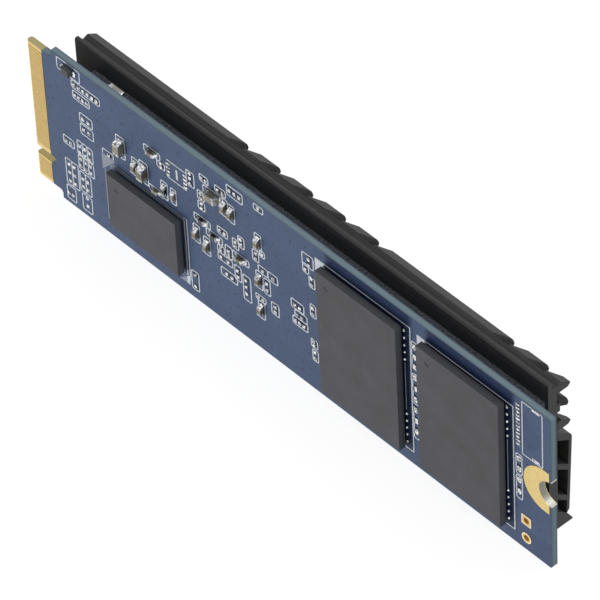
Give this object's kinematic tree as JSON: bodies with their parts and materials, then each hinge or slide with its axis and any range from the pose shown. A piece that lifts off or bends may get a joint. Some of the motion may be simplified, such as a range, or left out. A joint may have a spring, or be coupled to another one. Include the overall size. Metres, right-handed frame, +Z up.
{
  "type": "solid-state drive",
  "caption": "Narrow plug-in solid-state drive card with a keyed edge connector, a half-round screw notch, memory packages and a finned black heatsink.",
  "frame": {"origin": "middle of the footprint on the surface the drive stands on, at the lower long edge of the card", "axes": "+X along the card from the edge connector to the fixing notch, +Y from the component face to the heatsink, +Z up across the card"},
  "size_m": [0.08, 0.0074, 0.022],
  "materials": {
    "board_mask": "satin",
    "gold_plating": "satin",
    "tin": "satin",
    "mould_compound": "matte",
    "ceramic_brown": "satin",
    "ceramic_black": "satin",
    "ferrite": "matte",
    "thermal_silicone": "matte",
    "black_anodised_aluminium": "satin"
  },
  "bodies": {
    "root": {"circuit_board": "board_mask", "edge_contacts_front": "gold_plating", "edge_contacts_rear": "gold_plating", "screw_pad_front": "gold_plating", "screw_pad_rear": "gold_plating", "square_plated_hole": "gold_plating", "round_plated_hole": "gold_plating", "dram_front": "mould_compound", "dram_rear": "mould_compound", "nand_front_1": "mould_compound", "nand_front_2": "mould_compound", "nand_rear_1": "mould_compound", "nand_rear_2": "mould_compound", "controller": "mould_compound", "power_chip": "mould_compound", "diode": "mould_compound", "solder_joints_front": "tin", "solder_joints_rear": "tin", "large_capacitor_bodies": "ceramic_brown", "large_capacitor_ends": "tin", "medium_capacitor_bodies": "ceramic_brown", "medium_capacitor_ends": "tin", "small_capacitor_bodies": "ceramic_brown", "small_capacitor_ends": "tin", "resistor_bodies": "ceramic_black", "resistor_ends": "tin", "rear_capacitor_bodies": "ceramic_brown", "rear_capacitor_ends": "tin", "inductor_bodies": "ferrite", "inductor_ends": "tin", "diode_leads": "tin", "bare_pads": "tin", "chip_pads": "tin", "socket_pads": "tin", "ball_pads": "tin", "thermal_pad": "thermal_silicone", "heatsink": "black_anodised_aluminium"}
  },
  "joints": []
}
